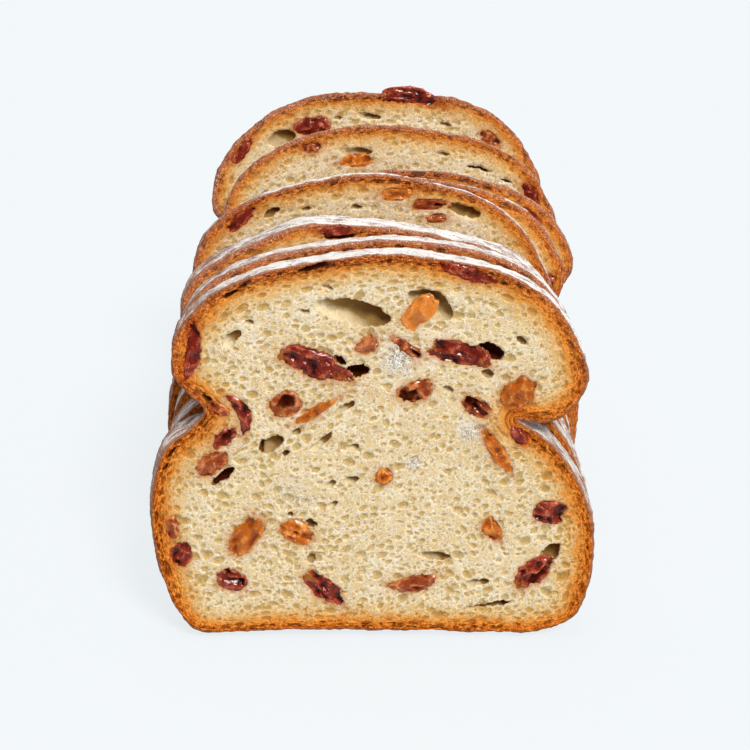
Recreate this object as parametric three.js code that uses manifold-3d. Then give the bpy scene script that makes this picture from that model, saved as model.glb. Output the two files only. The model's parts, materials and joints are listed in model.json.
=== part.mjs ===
// A tin-baked raisin loaf cut into eight slices, which still stand in a row and lean back.
// Millimetres, +Z up. The cut faces look towards -Y, and +X is to the right of someone who looks at them.
// The origin is at the middle of the whole row's footprint, on the surface that it stands on.
import * as THREE from "three";
import { mergeVertices } from "three/addons/utils/BufferGeometryUtils.js";
import Module from "manifold-3d";

const wasm = await Module();
wasm.setup();

// ---------------------------------------------------------------- driving dimensions

// The tin gives the body its width. The crown is what rose over the tin's rim and folded back down on it,
// and the pinch is the crease between the two. Left and right are measured from the middle of the slice.
const LOAF = {
  thickness: 12, // of a slice
  bodyLeft: 59.5,
  bodyRight: 58.7,
  pinchLeft: 39,
  pinchRight: 37.4,
  pinchHeight: 61,
  crownLeft: 53,
  crownRight: 55,
  top: 105,
  tilt: 0, // how much higher the crown rose on the right than on the left, in degrees
  lumpAt: 0, // where the crown's top is uneven, and by how much
  lumpRise: 0,
  growLeft: 1.6, // how much further the back of a slice reaches than its front
  growRight: 1,
  growTop: -1,
};

// Where each slice stands: `along` is the distance of its foot behind the first one's foot. `lean` and `yaw`
// are in degrees. The other sizes are those in which it differs from the loaf.
const SLICES = [
  { along: 0, lean: 15, yaw: 0, shift: 0, growLeft: 1.9, growRight: 1.4, growTop: -0.8 },
  { along: 12.9, lean: 15, yaw: 0, shift: 0.2, top: 102.8, bodyLeft: 57.4, crownRight: 54 },
  {
    along: 25.8,
    lean: 15,
    yaw: 0,
    shift: -0.5,
    tilt: -1.7,
    top: 99.8,
    lumpAt: -15,
    lumpRise: 3.4,
    crownRight: 53.6,
    bodyLeft: 56.6,
    growTop: 0.2,
  },
  {
    along: 41.4,
    lean: 17,
    yaw: 0.6,
    shift: -0.6,
    tilt: -1.9,
    top: 107,
    lumpAt: -8,
    lumpRise: 1.2,
    crownLeft: 51.2,
    crownRight: 51.4,
  },
  { along: 54.5, lean: 17, yaw: 0.4, shift: 1.2, top: 101.4, crownLeft: 50.5, crownRight: 54.6 },
  {
    along: 67.6,
    lean: 17,
    yaw: 0.2,
    shift: 4.4,
    top: 98,
    crownLeft: 51,
    crownRight: 55.4,
    bodyLeft: 58,
    lumpAt: 12,
    lumpRise: 1,
    growTop: -1.6,
  },
  {
    along: 84.4,
    lean: 18,
    yaw: -0.6,
    shift: 1.6,
    tilt: 0.7,
    top: 104.7,
    crownLeft: 49.5,
    crownRight: 55,
    lumpAt: -15,
    lumpRise: 1.8,
    growTop: -1.8,
  },
  {
    along: 101,
    lean: 19,
    yaw: 0.8,
    shift: -0.8,
    tilt: 2.3,
    top: 109.2,
    crownLeft: 51.7,
    crownRight: 55,
    lumpAt: -23,
    lumpRise: 3,
    growTop: -2,
  },
];

const FOOT_SINK = 0.8; // how deep the soft back edge of a slice is pressed flat where it stands
const GAP = 0.35; // between a raisin and the crumb round it
const OPEN_PROUD = 0.6; // how far a raisin stands out of an open cut face
const PRESSED_PROUD = 0.05; // and out of a face that the next slice leans against
const CROWN_STEPS = 30;
const BODY_STEPS = 26;

// Half outlines, from the pinch outwards, as shares of the crown's half width and of its height over the
// pinch, and of the body's half width and height. The crown hangs lower on the right.
const CROWN_RIGHT = [
  [0.83, -0.01],
  [0.93, 0.06],
  [0.99, 0.19],
  [1.0, 0.32],
  [0.955, 0.46],
  [0.885, 0.62],
  [0.76, 0.78],
  [0.56, 0.905],
  [0.28, 0.98],
];
const CROWN_LEFT = [
  [0.86, 0.09],
  [0.95, 0.22],
  [1.0, 0.32],
  [0.975, 0.46],
  [0.93, 0.59],
  [0.83, 0.72],
  [0.63, 0.855],
  [0.35, 0.945],
];
const BODY_RIGHT = [
  [0.78, 0.9],
  [0.895, 0.755],
  [0.975, 0.58],
  [1.0, 0.42],
  [0.985, 0.23],
  [0.925, 0.08],
  [0.8, 0.015],
  [0.64, 0],
];
const BODY_LEFT = [
  [0.78, 0.975],
  [0.89, 0.905],
  [0.96, 0.8],
  [1.0, 0.58],
  [0.985, 0.37],
  [0.93, 0.16],
  [0.86, 0.05],
  [0.75, 0],
];

// Raisins that show in the cut faces: where the middle of each lies on the face, across from the slice's
// middle and up from its foot, how long and high it shows there, how far it is turned, in degrees, and its
// tone. A slice with an empty list shows none, as its neighbours hide its face.
const DARK = { color: "#4d1109", roughness: 0.4 };
const RED = { color: "#8c3114", roughness: 0.4 };
const GOLDEN = { color: "#b8691c", roughness: 0.4 };
const FRONT_RAISINS = [
  [
    [23.4, 100.2, 13.2, 3.3, -17, DARK],
    [11.2, 89.6, 11, 5.7, 42, GOLDEN],
    [-47.3, 79.6, 16, 3.8, 80, DARK],
    [-15.6, 76.1, 18.6, 7, -20, DARK],
    [-1.8, 81.3, 6, 4.2, 20, RED],
    [8.5, 80.6, 8, 2.4, -32, RED],
    [21.9, 79, 15.2, 6.1, -16, DARK],
    [10.5, 68.6, 9.8, 5.4, 22, RED],
    [-23.1, 65.3, 8.4, 6.7, 27, RED],
    [-15.3, 63.4, 11.4, 2.4, 33, GOLDEN],
    [37, 67.8, 10.4, 6.8, 43, GOLDEN],
    [26.4, 64.3, 8.1, 4.4, -35, RED],
    [-35.2, 62.8, 11.4, 3.4, -66, DARK],
    [-40.4, 64, 5, 2.8, -36, RED],
    [-39.2, 56.2, 7.8, 3.6, 44, DARK],
    [-43.3, 48.8, 9.6, 5.4, 37, RED],
    [2.4, 45.2, 4.8, 4.5, 7, GOLDEN],
    [32.2, 52.2, 12, 3.6, -56, GOLDEN],
    [37.8, 56.4, 5.6, 3.2, -46, DARK],
    [46.5, 35, 9, 6.6, -11, DARK],
    [31.5, 30.1, 7.3, 4.4, -60, GOLDEN],
    [42.7, 17.8, 12.4, 6.6, 41, DARK],
    [10.7, 14.6, 12.8, 4.2, 8, RED],
    [-14.4, 13.2, 13, 5.9, -39, DARK],
    [-39, 15.5, 9, 6.3, -15, DARK],
    [-34.8, 27.8, 13, 6, 53, GOLDEN],
    [-21.5, 29.2, 8.5, 6, -20, GOLDEN],
    [-52.2, 22.8, 6.8, 5.4, 62, DARK],
    [-54.4, 30.6, 6.4, 3.6, 88, RED],
  ],
  [],
  [[-9.8, 99.9, 8.8, 2.4, 3, DARK]],
  [
    [7.2, 102.2, 8.4, 3.2, 3, GOLDEN],
    [16.3, 99.2, 9.8, 3, 0, RED],
    [18, 95.4, 5.6, 2.2, -2, RED],
    [-37.2, 95.1, 11, 3, 40, DARK],
  ],
  [[49.9, 70.4, 5.4, 3.2, 66, DARK]],
  [[42, 84.2, 7.4, 4.2, -38, DARK]],
  [
    [-7.2, 94.6, 9.8, 3.8, 6, GOLDEN],
    [-21.5, 98.6, 6.2, 3, 12, RED],
    [46.8, 84.6, 7.2, 3.2, -60, DARK],
  ],
  [
    [-18.8, 98.8, 11, 6.2, 3, DARK],
    [12.2, 108.1, 16.4, 5.2, -4, DARK],
    [-41.6, 90.8, 9.4, 3, 52, DARK],
    [38, 94.8, 7, 3.4, -31, RED],
  ],
];

// Raisins in the back of the last slice, which is a cut face too.
const BACK_RAISINS = [
  [-24, 78, 11, 6, 24, DARK],
  [18, 84, 9, 6.4, -30, RED],
  [33, 63, 8, 4.2, 50, DARK],
  [-40, 35, 10, 6, -14, GOLDEN],
  [4, 52, 7, 5.2, 10, DARK],
  [-12, 20, 11.4, 5.4, 6, RED],
  [36, 24, 9, 6.8, -22, DARK],
];

// Large holes that the dough's gas left in the first cut face: across, up, length, height, turn, depth.
const HOLES = [
  [-5.6, 90, 19.6, 6.2, -12, 3.6],
  [14.6, 92.2, 13.4, 6.2, -27, 3.2],
  [30.1, 79.4, 7, 3.8, -17, 4],
  [-4.2, 74.3, 5.8, 3.5, 8, 4],
  [-40.2, 45.3, 7.4, 2.6, 36, 3.6],
];

// ---------------------------------------------------------------- colours

const breadFinish = new THREE.MeshStandardMaterial({ color: "#e3cc95", roughness: 0.85 });
const raisinFinishes = new Map(
  [DARK, RED, GOLDEN].map((tone) => [tone, new THREE.MeshStandardMaterial(tone)]),
);

// ---------------------------------------------------------------- solids

// Turns a closed geometry into a solid that can be joined and cut.
function solidOf(geometry) {
  const shell = geometry.clone();
  shell.deleteAttribute("normal");
  shell.deleteAttribute("uv");
  const merged = mergeVertices(shell);
  return new wasm.Manifold(
    new wasm.Mesh({
      numProp: 3,
      vertProperties: merged.attributes.position.array,
      triVerts: new Uint32Array(merged.index.array),
    }),
  );
}

function geometryOf(solid) {
  const mesh = solid.getMesh();
  const geometry = new THREE.BufferGeometry();
  geometry.setAttribute("position", new THREE.BufferAttribute(mesh.vertProperties, mesh.numProp));
  geometry.setIndex(new THREE.BufferAttribute(mesh.triVerts, 1));
  geometry.computeVertexNormals();
  return geometry;
}

// ---------------------------------------------------------------- the loaf's outline

// What makes a slice's outline uneven: a bump on its crown, and a crown that rose askew. Both fade out
// down the slice, so that it stands level.
function uneven(size, [x, z]) {
  const LUMP_REACH = 14;
  const overPinch = Math.max(0, (z - size.pinchHeight) / (size.top - size.pinchHeight));
  const overFoot = Math.min(1, z / size.pinchHeight);
  const lump = size.lumpRise * Math.exp(-(((x - size.lumpAt) / LUMP_REACH) ** 2)) * overPinch;
  const skew = x * Math.tan(THREE.MathUtils.degToRad(size.tilt)) * overFoot ** 2;
  return new THREE.Vector2(x, z + lump + skew);
}

function crownCurve(size) {
  const rise = size.top - size.pinchHeight;
  const right = CROWN_RIGHT.map(([x, z]) => [x * size.crownRight, size.pinchHeight + z * rise]);
  const left = CROWN_LEFT.map(([x, z]) => [-x * size.crownLeft, size.pinchHeight + z * rise]);
  const points = [
    [size.pinchRight, size.pinchHeight],
    ...right,
    [0, size.top],
    ...left.reverse(),
    [-size.pinchLeft, size.pinchHeight],
  ];
  return new THREE.SplineCurve(points.map((point) => uneven(size, point)));
}

function bodyCurve(size) {
  const right = BODY_RIGHT.map(([x, z]) => [x * size.bodyRight, z * size.pinchHeight]);
  const left = BODY_LEFT.map(([x, z]) => [-x * size.bodyLeft, z * size.pinchHeight]);
  const points = [
    [-size.pinchLeft, size.pinchHeight],
    ...left,
    [-0.3 * size.bodyLeft, 0.9],
    [0.2 * size.bodyRight, 0.5],
    ...right.reverse(),
    [size.pinchRight, size.pinchHeight],
  ];
  return new THREE.SplineCurve(points.map((point) => uneven(size, point)));
}

// The whole outline, anticlockwise, each pinch tip given once.
function faceOutline(size) {
  const crown = crownCurve(size).getSpacedPoints(CROWN_STEPS).slice(0, -1);
  const body = bodyCurve(size).getSpacedPoints(BODY_STEPS).slice(0, -1);
  return new THREE.Shape([...crown, ...body]);
}

// A slice in its own frame: its foot's back edge on the X axis, its back at Y = 0, its cut face at
// Y = -thickness. The back reaches a little further out than the face, as the loaf swells along its length.
function sliceGeometry(size) {
  const { thickness, bodyLeft, bodyRight, top } = size;
  const geometry = new THREE.ExtrudeGeometry(faceOutline(size), {
    depth: thickness,
    steps: 1,
    bevelEnabled: false,
  });
  const point = new THREE.Vector3();
  const position = geometry.attributes.position;
  for (let i = 0; i < position.count; i += 1) {
    point.fromBufferAttribute(position, i);
    const back = 1 - point.z / thickness;
    const leftShare = Math.max(0, -point.x / bodyLeft);
    const rightShare = Math.max(0, point.x / bodyRight);
    point.x += back * (size.growRight * rightShare ** 2 - size.growLeft * leftShare ** 2);
    point.y += back * size.growTop * (point.y / top) ** 2;
    position.setXYZ(i, point.x, point.y, point.z);
  }
  return geometry.rotateX(Math.PI / 2);
}

// ---------------------------------------------------------------- raisins and holes

const ovalGeometry = new THREE.IcosahedronGeometry(1, 1);

// An oval that swells to its full outline on a cut face: it reaches `inside` into the crumb and stands
// `outside` out of it. `outwards` is -1 on a front face and 1 on a back face.
function ovalOnFace(length, height, inside, outside, outwards) {
  const geometry = ovalGeometry.clone();
  const position = geometry.attributes.position;
  for (let i = 0; i < position.count; i += 1) {
    const y = position.getY(i);
    const reach = y * outwards > 0 ? outside : inside;
    position.setXYZ(i, position.getX(i) * (length / 2), y * reach, position.getZ(i) * (height / 2));
  }
  return geometry;
}

// How deep a raisin reaches into the crumb: the knife took the rest. Thin ones were cut lengthwise.
function raisinDepth(height) {
  const LEAST_DEPTH = 1.6;
  return LEAST_DEPTH + 0.4 * height;
}

function raisinGeometry([, , length, height], face, extra) {
  const inside = raisinDepth(height) + extra;
  return ovalOnFace(length + 2 * extra, height + 2 * extra, inside, face.proud + extra, face.outwards);
}

function placeOnFace(object, [across, up, , , turn], face) {
  object.position.set(across, face.y, up);
  object.rotation.y = -THREE.MathUtils.degToRad(turn);
  object.updateMatrix();
}

// The room that a raisin takes in the crumb, with a little clearance all round.
function raisinPocket(raisin, face) {
  const room = new THREE.Object3D();
  placeOnFace(room, raisin, face);
  return solidOf(raisinGeometry(raisin, face, GAP).applyMatrix4(room.matrix));
}

function holeSolid(hole, face) {
  const [, , length, height, , depth] = hole;
  const room = new THREE.Object3D();
  placeOnFace(room, hole, face);
  return solidOf(ovalOnFace(length, height, depth, depth, face.outwards).applyMatrix4(room.matrix));
}

// Everything under the surface that the loaf stands on, in a slice's own frame.
function underTable(leanAngle) {
  const BLOCK = 300;
  const block = new THREE.BoxGeometry(BLOCK, BLOCK, BLOCK);
  block.translate(0, 0, FOOT_SINK - BLOCK / 2);
  return solidOf(block.rotateX(leanAngle));
}

// ---------------------------------------------------------------- the row of slices

function addRaisins(holder, raisins, face, prefix) {
  raisins.forEach((raisin, index) => {
    const [, , , , , tone] = raisin;
    const mesh = new THREE.Mesh(raisinGeometry(raisin, face, 0), raisinFinishes.get(tone));
    mesh.name = `${prefix}_${String(index + 1).padStart(2, "0")}`;
    placeOnFace(mesh, raisin, face);
    holder.add(mesh);
  });
}

function makeSlice(place, index) {
  const size = { ...LOAF, ...place };
  const number = index + 1;
  const isFirst = index === 0;
  const isLast = index === SLICES.length - 1;
  const leanAngle = THREE.MathUtils.degToRad(size.lean);
  const front = {
    y: -size.thickness,
    outwards: -1,
    proud: isFirst ? OPEN_PROUD : PRESSED_PROUD,
  };
  const back = { y: 0, outwards: 1, proud: OPEN_PROUD };

  let solid = solidOf(sliceGeometry(size)).subtract(underTable(leanAngle));
  for (const raisin of FRONT_RAISINS[index]) {
    solid = solid.subtract(raisinPocket(raisin, front));
  }
  for (const raisin of isLast ? BACK_RAISINS : []) {
    solid = solid.subtract(raisinPocket(raisin, back));
  }
  for (const hole of isFirst ? HOLES : []) {
    solid = solid.subtract(holeSolid(hole, front));
  }
  const mesh = new THREE.Mesh(geometryOf(solid), breadFinish);
  mesh.name = `slice_${number}`;

  const leaning = new THREE.Group();
  leaning.position.z = -FOOT_SINK;
  leaning.rotation.x = -leanAngle;
  leaning.add(mesh);
  addRaisins(leaning, FRONT_RAISINS[index], front, `raisin_${number}`);
  if (isLast) addRaisins(leaning, BACK_RAISINS, back, "raisin_back");

  const standing = new THREE.Group();
  standing.position.set(size.shift, size.along, 0);
  standing.rotation.z = THREE.MathUtils.degToRad(size.yaw);
  standing.add(leaning);
  return standing;
}

const row = new THREE.Group();
SLICES.forEach((place, index) => row.add(makeSlice(place, index)));

// Puts the middle of the row's footprint at the origin.
row.updateMatrixWorld(true);
const box = new THREE.Box3().setFromObject(row, true);
row.position.set(-(box.min.x + box.max.x) / 2, -(box.min.y + box.max.y) / 2, -box.min.z);

const bread = new THREE.Group();
bread.add(row);

export default bread;
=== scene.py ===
"""A tin-baked raisin loaf, cut into eight slices that still stand in a row."""
import itertools
import json
import math

import bmesh
import bpy
import numpy as np
from bpy.props import FloatProperty, FloatVectorProperty, IntProperty, PointerProperty
from mathutils import Matrix, Vector, kdtree


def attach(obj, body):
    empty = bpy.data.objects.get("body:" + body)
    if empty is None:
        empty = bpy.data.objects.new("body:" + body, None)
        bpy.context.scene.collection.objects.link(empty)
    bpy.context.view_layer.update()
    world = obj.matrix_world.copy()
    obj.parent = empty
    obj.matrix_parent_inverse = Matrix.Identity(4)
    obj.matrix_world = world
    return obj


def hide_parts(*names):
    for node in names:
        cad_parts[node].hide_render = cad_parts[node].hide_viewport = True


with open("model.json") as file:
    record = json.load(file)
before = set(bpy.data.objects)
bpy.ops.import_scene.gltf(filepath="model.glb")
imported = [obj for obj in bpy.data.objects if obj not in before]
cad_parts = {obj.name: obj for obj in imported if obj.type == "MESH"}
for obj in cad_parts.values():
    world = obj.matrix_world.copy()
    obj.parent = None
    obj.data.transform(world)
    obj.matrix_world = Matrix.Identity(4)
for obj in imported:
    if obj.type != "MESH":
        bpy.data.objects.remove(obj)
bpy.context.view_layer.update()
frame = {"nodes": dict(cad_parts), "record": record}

bl_info = {
    "name": "Raisin Bread",
    "version": (1, 0, 0),
    "blender": (4, 5, 0),
    "location": "View3D > Sidebar > Bread",
    "description": "Makes the crumb, the floured crust and the raisins of a sliced raisin loaf",
    "category": "Add Mesh",
}

MM = 0.001  # the script works in millimetres, and its meshes are in metres
FIRST, LAST = 1, 8  # the numbers of the first and the last slice

# ---------------------------------------------------------------- the bread's own places

# How dark the shade painted inside a hole in the crumb is, from 0 to 1. The three named levels are olive,
# brown and near black painted shade.
OLIVE_SHADE, BROWN_SHADE, BLACK_SHADE = 0.4, 0.72, 1.0

# Holes in the front faces: across from the slice's middle, up from its foot, length, height, turn in
# degrees, depth and the darkness of the painted shade inside. All but the turn and the darkness are in
# millimetres.
HOLES = {
    1: [
        (-5.2, 90.0, 19.6, 6.2, -12, 3.2, 0.38),
        (15.0, 92.2, 13.4, 6.2, -27, 3.0, 0.3),
        (30.5, 79.4, 7.2, 3.9, -17, 3.8, BLACK_SHADE),
        (-3.8, 74.3, 6.0, 3.5, 8, 3.6, BLACK_SHADE),
        (-8.6, 77.0, 3.9, 2.0, -38, 2.4, 0.9),
        (-39.8, 45.3, 7.6, 2.5, 36, 3.0, BLACK_SHADE),
        (-26.4, 54.3, 6.6, 3.5, 36, 2.2, OLIVE_SHADE),
        (-29.2, 53.6, 2.0, 3.6, -24, 2.8, BROWN_SHADE),
        (-23.1, 51.8, 2.0, 1.4, 24, 1.4, BROWN_SHADE),
        (-20.1, 57.7, 2.8, 1.9, 16, 1.4, 0.35),
        (-7.3, 64.4, 6.2, 2.0, 30, 1.3, 0.3),
        (-13.4, 54.9, 7.6, 1.8, 45, 1.2, 0.25),
        (-5.3, 53.5, 3.2, 2.0, 15, 1.2, 0.25),
        (-11.2, 43.1, 3.5, 1.6, 24, 1.1, 0.25),
        (-5.9, 44.1, 4.2, 2.2, 15, 1.2, 0.25),
        (-10.8, 37.1, 3.3, 1.6, 26, 1.1, 0.25),
        (29.6, 73.7, 3.4, 2.4, -25, 1.5, OLIVE_SHADE),
        (38.3, 82.4, 3.2, 1.8, -35, 1.4, 0.45),
        (19.5, 69.2, 3.2, 1.8, -23, 1.2, 0.25),
        (16.9, 22.3, 8.2, 2.6, -6, 1.6, 0.35),
        (28.3, 14.6, 6.2, 1.9, 5, 1.4, 0.3),
        (33.9, 8.3, 8.6, 1.5, 9, 1.6, 0.6),
        (28.0, 7.4, 7.6, 0.8, 9, 1.0, 0.35),
        (47.9, 23.3, 6.8, 4.6, 44, 2.4, 0.55),
        (-16.6, 31.7, 3.4, 2.1, -15, 1.8, 0.62),
        (-21.9, 34.4, 1.6, 1.3, 0, 1.1, 0.5),
        (-16.5, 21.7, 2.8, 2.4, 23, 1.3, OLIVE_SHADE),
        (-36.4, 82.8, 6.2, 3.0, 50, 1.4, 0.22),
        (-32.0, 87.2, 2.8, 1.5, 27, 1.2, 0.2),
        (-11.6, 96.5, 3.5, 1.4, -17, 1.2, 0.2),
        (-17.5, 90.2, 2.3, 1.4, -13, 1.1, 0.3),
        (-42.7, 66.2, 5.2, 1.7, -45, 1.8, 0.7),
        (-15.3, 101.8, 8.6, 1.7, 15, 1.8, 0.9),
        (-36.3, 94.8, 5.2, 1.2, 20, 1.5, 0.85),
        (-33.2, 96.8, 3.4, 0.9, 36, 1.3, 0.8),
        (-53.2, 52.0, 5.1, 0.8, 50, 1.4, 0.9),
        (-54.8, 48.0, 3.2, 0.8, 63, 1.3, 0.9),
        (33.3, 97.5, 2.4, 1.0, -14, 1.2, 0.5),
    ],
    3: [(-10.2, 98.2, 10.6, 1.4, 4, 1.4, BLACK_SHADE)],
    4: [
        (26.3, 97.6, 10.4, 3.0, -17, 2.0, 0.5),
        (-27.8, 97.4, 5.6, 1.9, 30, 1.8, 0.5),
        (-18.0, 98.4, 3.4, 1.3, 8, 1.2, OLIVE_SHADE),
        (-4.0, 98.8, 4.0, 1.2, 2, 1.2, OLIVE_SHADE),
    ],
    7: [
        (-6.8, 97.4, 10.0, 3.0, 4, 1.6, 0.3),
        (31.1, 92.4, 8.6, 1.1, -16, 1.4, 0.9),
        (39.6, 88.6, 4.2, 0.9, -24, 1.3, 0.85),
        (20.0, 97.0, 4.0, 1.3, -6, 1.2, OLIVE_SHADE),
    ],
    8: [
        (-28.4, 95.4, 9.6, 4.6, 14, 2.2, 0.35),
        (-0.4, 102.2, 8.0, 1.9, -6, 1.6, 0.35),
        (-10.4, 101.6, 3.6, 1.2, 10, 1.2, OLIVE_SHADE),
        (24.0, 99.6, 4.4, 1.2, -14, 1.2, OLIVE_SHADE),
    ],
}
BACK_HOLES = [
    (-8.0, 84.0, 9.0, 3.6, -12, 2.0, OLIVE_SHADE),
    (27.0, 44.0, 7.0, 3.0, 34, 1.8, 0.3),
    (-30.0, 58.0, 5.4, 2.6, -40, 1.6, 0.3),
    (10.0, 31.0, 6.6, 2.4, 8, 1.5, OLIVE_SHADE),
    (-24.0, 95.0, 4.6, 1.6, 22, 1.4, BROWN_SHADE),
]

# Raisins whose ends bend up (more than 0) or down, as a share of half their height.
BENDS = {
    "raisin_1_03": 0.5,
    "raisin_1_04": -0.3,
    "raisin_1_07": -0.35,
    "raisin_1_13": -1.0,
    "raisin_1_23": 0.4,
    "raisin_8_02": -0.5,
}
# Where the knife tore raisins open: across and up in a raisin's unit disc, and how far that reaches. The
# torn hollows are sunk and painted near black as painted shade.
TORN = {
    "raisin_1_06": [(0.55, -0.1, 0.42)],
    "raisin_1_08": [(-0.45, -0.1, 0.62)],
    "raisin_1_09": [(0.1, 0.15, 0.58)],
    "raisin_1_12": [(-0.4, 0.2, 0.52)],
    "raisin_1_15": [(0.15, 0.0, 0.5)],
    "raisin_1_22": [(-0.1, -0.5, 0.4)],
    "raisin_1_25": [(0.55, 0.1, 0.35), (-0.3, 0.6, 0.3)],
    "raisin_4_02": [(0.4, 0.0, 0.4)],
}
# Where raisins are clear and amber, in the same way.
CLEAR = {
    "raisin_1_04": [(-0.85, 0.0, 0.5), (0.8, -0.1, 0.3)],
    "raisin_1_07": [(-0.9, 0.1, 0.35), (0.85, -0.2, 0.25)],
    "raisin_1_09": [(-0.7, -0.5, 0.5)],
    "raisin_1_22": [(-0.95, 0.0, 0.45)],
    "raisin_1_24": [(-0.8, 0.1, 0.4)],
    "raisin_1_25": [(-0.8, -0.4, 0.35)],
    "raisin_1_29": [(0.0, 0.3, 0.6)],
}
# Raisins lighter (up to 1) or darker (down to -1) than their kind.
TONES = {
    "raisin_1_02": 0.9,
    "raisin_1_05": 0.5,
    "raisin_1_10": -0.4,
    "raisin_1_11": -0.7,
    "raisin_1_18": -0.3,
    "raisin_1_21": -0.4,
    "raisin_1_23": -0.3,
    "raisin_1_26": -0.5,
    "raisin_4_01": 0.2,
    "raisin_7_01": 0.2,
}

# Where the first slice's crumb is torn to a fine grey web, white threads with near-black painted shade in
# the gaps between them: across, up, reach and strength.
WEBS = [(6.8, 78.0, 6.4, 1.0), (10.6, 48.6, 3.0, 1.0), (25.0, 58.0, 5.0, 0.7), (-20.0, 41.0, 8.0, 0.3)]


def tint(code):
    """A colour such as #e8d6a8 in linear light, opaque."""
    channels = [int(code[i : i + 2], 16) / 255 for i in (1, 3, 5)]
    return (*[c / 12.92 if c <= 0.04045 else ((c + 0.055) / 1.055) ** 2.4 for c in channels], 1.0)


# ---------------------------------------------------------------- what a user would change


def length(name, description, default):
    return FloatProperty(name=name, description=description, default=default * MM, min=0.0, unit="LENGTH")


def colour(name, description, code):
    return FloatVectorProperty(
        name=name, description=description, default=tint(code), size=4, min=0.0, max=1.0, subtype="COLOR"
    )


def strength(name, description, default):
    return FloatProperty(name=name, description=description, default=default, min=0.0)


class CrumbSettings(bpy.types.PropertyGroup):
    """Sizes and colours of the cut faces and the crust."""

    fine_net: length("Open face net", "Spacing of the first slice's surface points", 0.385)
    near_net: length("Covered face net", "Spacing of the other slices' surface points", 0.52)
    coarse_net: length("Hidden face net", "Spacing on faces that the next slice covers", 1.3)
    pore_reach: length("Pore spacing", "Distance between the pores of middle size", 2.5)
    pore_depth: length("Pore depth", "Depth of a pore of middle size", 0.5)
    crust_depth: length("Crust depth", "How far the browning reaches in from the crust", 10.0)
    crumb: colour("Crumb", "Colour of the walls between the pores", "#e5c98f")
    # The pore colour is painted shade: the crumb is painted darker deep in its pores.
    pore: colour("Pore", "Colour deep in a pore", "#c6a562")
    skin: colour("Skin", "Colour of the outer crust", "#8a5236")
    flour: colour("Flour", "Colour of the flour on the crust", "#fbf9f8")


class RaisinSettings(bpy.types.PropertyGroup):
    """Sizes and colours of the raisins."""

    roundness: IntProperty(
        name="Roundness", description="How finely a raisin is divided", default=4, min=2, max=5
    )
    wrinkle: length("Wrinkle depth", "Depth of the folds in a raisin's skin", 0.8)
    dark: colour("Dark raisins", "Skin of the dark raisins", "#7a1e0a")
    red: colour("Red raisins", "Skin of the red-brown raisins", "#963f14")
    golden: colour("Golden raisins", "Skin of the amber raisins", "#c46410")


class StageSettings(bpy.types.PropertyGroup):
    """The camera, the light and the floor."""

    lens: FloatProperty(
        name="Lens", description="Focal length on a 36 mm sensor", default=66.58, unit="CAMERA"
    )
    camera: FloatVectorProperty(
        name="Camera",
        description="Where the camera stands",
        default=(-0.0009, -0.36111, 0.26088),
        subtype="TRANSLATION",
        unit="LENGTH",
    )
    looks_down: FloatProperty(
        name="Looks down",
        description="Angle under the horizon",
        default=math.radians(31.5),
        subtype="ANGLE",
    )
    key: strength("Key light", "Strength of the soft main light", 3.25)
    top: strength("Top light", "Strength of the light from over the row", 1.3)
    fill: strength("Fill light", "Strength of the light from all round", 0.25)
    floor: colour("Floor", "Colour of the floor", "#f2f7fa")


# ---------------------------------------------------------------- random shapes


def hashed(cells, seed):
    """A random number from -1 to 1 for each cell of a lattice."""
    primes = (73856093, 19349663, 83492791)
    key = np.full(cells.shape[:-1], 2654435761 * (seed + 1) & 0xFFFFFFFF, dtype=np.int64)
    for axis in range(cells.shape[-1]):
        key ^= cells[..., axis] * primes[axis]
    for _ in range(2):
        key = ((key ^ (key >> 15)) * 739982445) & 0xFFFFFFFF
    return ((key ^ (key >> 15)) & 0xFFFF) / 32767.5 - 1


def lumps(points, size, seed):
    """Smooth bumps from -1 to 1, about `size` apart, at points in two or three dimensions."""
    cell = points / size
    low = np.floor(cell).astype(np.int64)
    part = cell - low
    part = part * part * (3 - 2 * part)
    total = 0.0
    for corner in itertools.product((0, 1), repeat=points.shape[-1]):
        weight = np.prod(np.where(np.array(corner) == 1, part, 1 - part), axis=-1)
        total = total + weight * hashed(low + np.array(corner), seed)
    return total


def rough(points, size, seed, layers):
    """Lumps with ever finer lumps on them."""
    return sum(lumps(points, size / 2**k, seed + k) / 2**k for k in range(layers))


def step(value, low, high):
    """0 under low, 1 over high, and smooth between them; low may be the larger one."""
    t = np.clip((value - low) / (high - low), 0, 1)
    return t * t * (3 - 2 * t)


def bubbles(points, spacing, radii, seed, wall, turn, stretch, keep, growth):
    """How deep each point lies inside one of many scattered bubbles, less than 0 outside them.

    Bubbles are `stretch` times as long as wide, with their length along `turn`, in radians, and at least
    `wall` stays between them. `keep` is the share of bubbles that are there at all, and `growth` makes them
    larger or smaller at each point."""
    cell = np.floor(points / spacing).astype(np.int64)
    first = np.full(len(points), 99.0)
    second = np.full(len(points), 99.0)
    radius = np.ones(len(points))
    there = np.zeros(len(points), dtype=bool)
    cos, sin = np.cos(turn), np.sin(turn)
    wider = stretch**0.4
    for shift in itertools.product((-1, 0, 1), repeat=2):
        home = cell + np.array(shift)
        dice = [hashed(home, seed + k) for k in range(4)]
        middle = home + 0.5 + 0.4 * np.stack(dice[:2], axis=-1)
        across, up = (points - middle * spacing).T
        away = np.hypot((across * cos + up * sin) / stretch, up * cos - across * sin) * wider
        closer = away < first
        second = np.where(closer, first, np.minimum(second, away))
        first = np.where(closer, away, first)
        radius = np.where(closer, radii[0] + (radii[1] - radii[0]) * (dice[2] * 0.5 + 0.5), radius)
        there = np.where(closer, dice[3] < 2 * keep - 1, there)
    depth = np.minimum(radius * growth - first, (second - first - wall) / 2)
    return np.where(there, depth, -spacing)


# ---------------------------------------------------------------- a slice's outline and drawing board


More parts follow.
